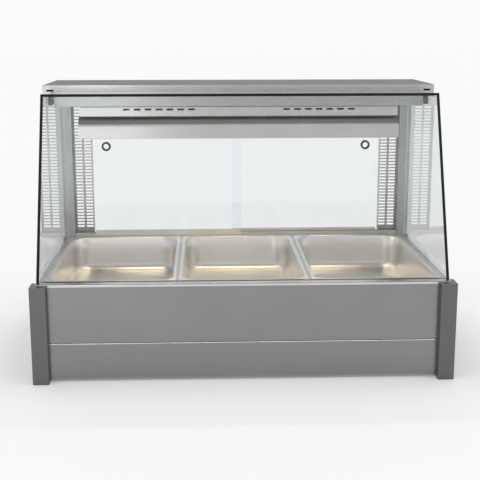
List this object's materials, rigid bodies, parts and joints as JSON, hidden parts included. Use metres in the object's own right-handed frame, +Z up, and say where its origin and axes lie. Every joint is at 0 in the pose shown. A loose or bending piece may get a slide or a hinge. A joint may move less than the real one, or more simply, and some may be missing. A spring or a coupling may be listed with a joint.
{
  "type": "hot food display case",
  "caption": "Countertop heated food display case with sloping glass front, glass sides, pans in a heated well, lamp hood under a flat canopy and sliding glass rear doors.",
  "frame": {"origin": "on the counter, under the middle of the case", "axes": "+X to the customer's right along the case, -Y towards the customer's sloping glass, +Y towards the rear doors, +Z up"},
  "size_m": [1.046, 0.63, 0.71],
  "materials": {
    "black_plastic": "fine textured",
    "black_trim": "satin black",
    "bright_aluminium": "polished",
    "ceramic": "glazed ceramic",
    "element_sheath": "heat darkened",
    "glass": "clear toughened",
    "hood_steel": "satin",
    "lens_amber": "translucent gloss",
    "mineral_wool": "fibrous",
    "pan_steel": "pressed, fine satin",
    "post_steel": "satin, darker",
    "quartz": "clear quartz",
    "ring_bronze": "dark bronze",
    "rocker_plastic": "gloss",
    "satin_steel": "satin brushed",
    "track_dark": "anodised grey"
  },
  "bodies": {
    "case": {"base_plate": "satin_steel", "cable_gland": "black_plastic", "canopy_cover": "satin_steel", "canopy_tray": "satin_steel", "deck": "satin_steel", "door_head_track": "satin_steel", "door_sill_track": "track_dark", "element_nuts": "satin_steel", "front_glass": "glass", "front_glass_trim": "black_trim", "front_panel": "satin_steel", "front_post_left": "post_steel", "front_post_right": "post_steel", "front_skirt": "satin_steel", "glass_clamps": "satin_steel", "header_box": "satin_steel", "heat_switch": "black_plastic", "heating_element_centre": "element_sheath", "heating_element_left": "element_sheath", "heating_element_right": "element_sheath", "lamp_holders": "ceramic", "lamp_hood": "hood_steel", "lamp_reflector": "bright_aluminium", "lamp_switch": "black_plastic", "left_side_glass": "glass", "left_side_panel": "satin_steel", "left_upright": "satin_steel", "left_vent_panel": "satin_steel", "pan_divider_left": "satin_steel", "pan_divider_right": "satin_steel", "panel_screws": "satin_steel", "pilot_lamp": "lens_amber", "post_glides": "black_plastic", "quartz_lamp_centre": "quartz", "quartz_lamp_left": "quartz", "quartz_lamp_right": "quartz", "rear_panel": "satin_steel", "rear_post_left": "post_steel", "rear_post_right": "post_steel", "right_side_glass": "glass", "right_side_panel": "satin_steel", "right_upright": "satin_steel", "right_vent_panel": "satin_steel", "terminal_block": "ceramic", "thermostat": "black_plastic", "well_insulation": "mineral_wool", "well_tank": "satin_steel"},
    "left_door": {"left_door_glass": "glass", "left_door_rail": "satin_steel", "left_door_ring": "ring_bronze"},
    "right_door": {"right_door_glass": "glass", "right_door_rail": "satin_steel", "right_door_ring": "ring_bronze"},
    "pan_left": {"food_pan_left": "pan_steel"},
    "pan_centre": {"food_pan_centre": "pan_steel"},
    "pan_right": {"food_pan_right": "pan_steel"},
    "thermostat_control": {"thermostat_knob": "black_plastic", "thermostat_spindle": "satin_steel"},
    "heat_rocker": {"heat_switch_rocker": "rocker_plastic"},
    "lamp_rocker": {"lamp_switch_rocker": "rocker_plastic"}
  },
  "joints": [
    {"name": "left_door_slide", "type": "slide", "parent": "case", "child": "left_door", "axis": [1, 0, 0], "range_m": [0, 0.406]},
    {"name": "right_door_slide", "type": "slide", "parent": "case", "child": "right_door", "axis": [-1, 0, 0], "range_m": [0, 0.406]},
    {"name": "pan_left_tilt", "type": "hinge", "parent": "case", "child": "pan_left", "pos_m": [-0.33, -0.264, 0.248], "axis": [1, 0, 0], "range_deg": [0, 25]},
    {"name": "pan_centre_tilt", "type": "hinge", "parent": "case", "child": "pan_centre", "pos_m": [0, -0.264, 0.248], "axis": [1, 0, 0], "range_deg": [0, 25]},
    {"name": "pan_right_tilt", "type": "hinge", "parent": "case", "child": "pan_right", "pos_m": [0.33, -0.264, 0.248], "axis": [1, 0, 0], "range_deg": [0, 25]},
    {"name": "thermostat_turn", "type": "hinge", "parent": "case", "child": "thermostat_control", "pos_m": [-0.332, 0.297, 0.054], "axis": [0, -1, 0], "range_deg": [0, 270]},
    {"name": "heat_switch_tip", "type": "hinge", "parent": "case", "child": "heat_rocker", "pos_m": [-0.264, 0.2978, 0.054], "axis": [1, 0, 0], "range_deg": [0, 22]},
    {"name": "lamp_switch_tip", "type": "hinge", "parent": "case", "child": "lamp_rocker", "pos_m": [-0.216, 0.2978, 0.054], "axis": [1, 0, 0], "range_deg": [0, 22]}
  ]
}
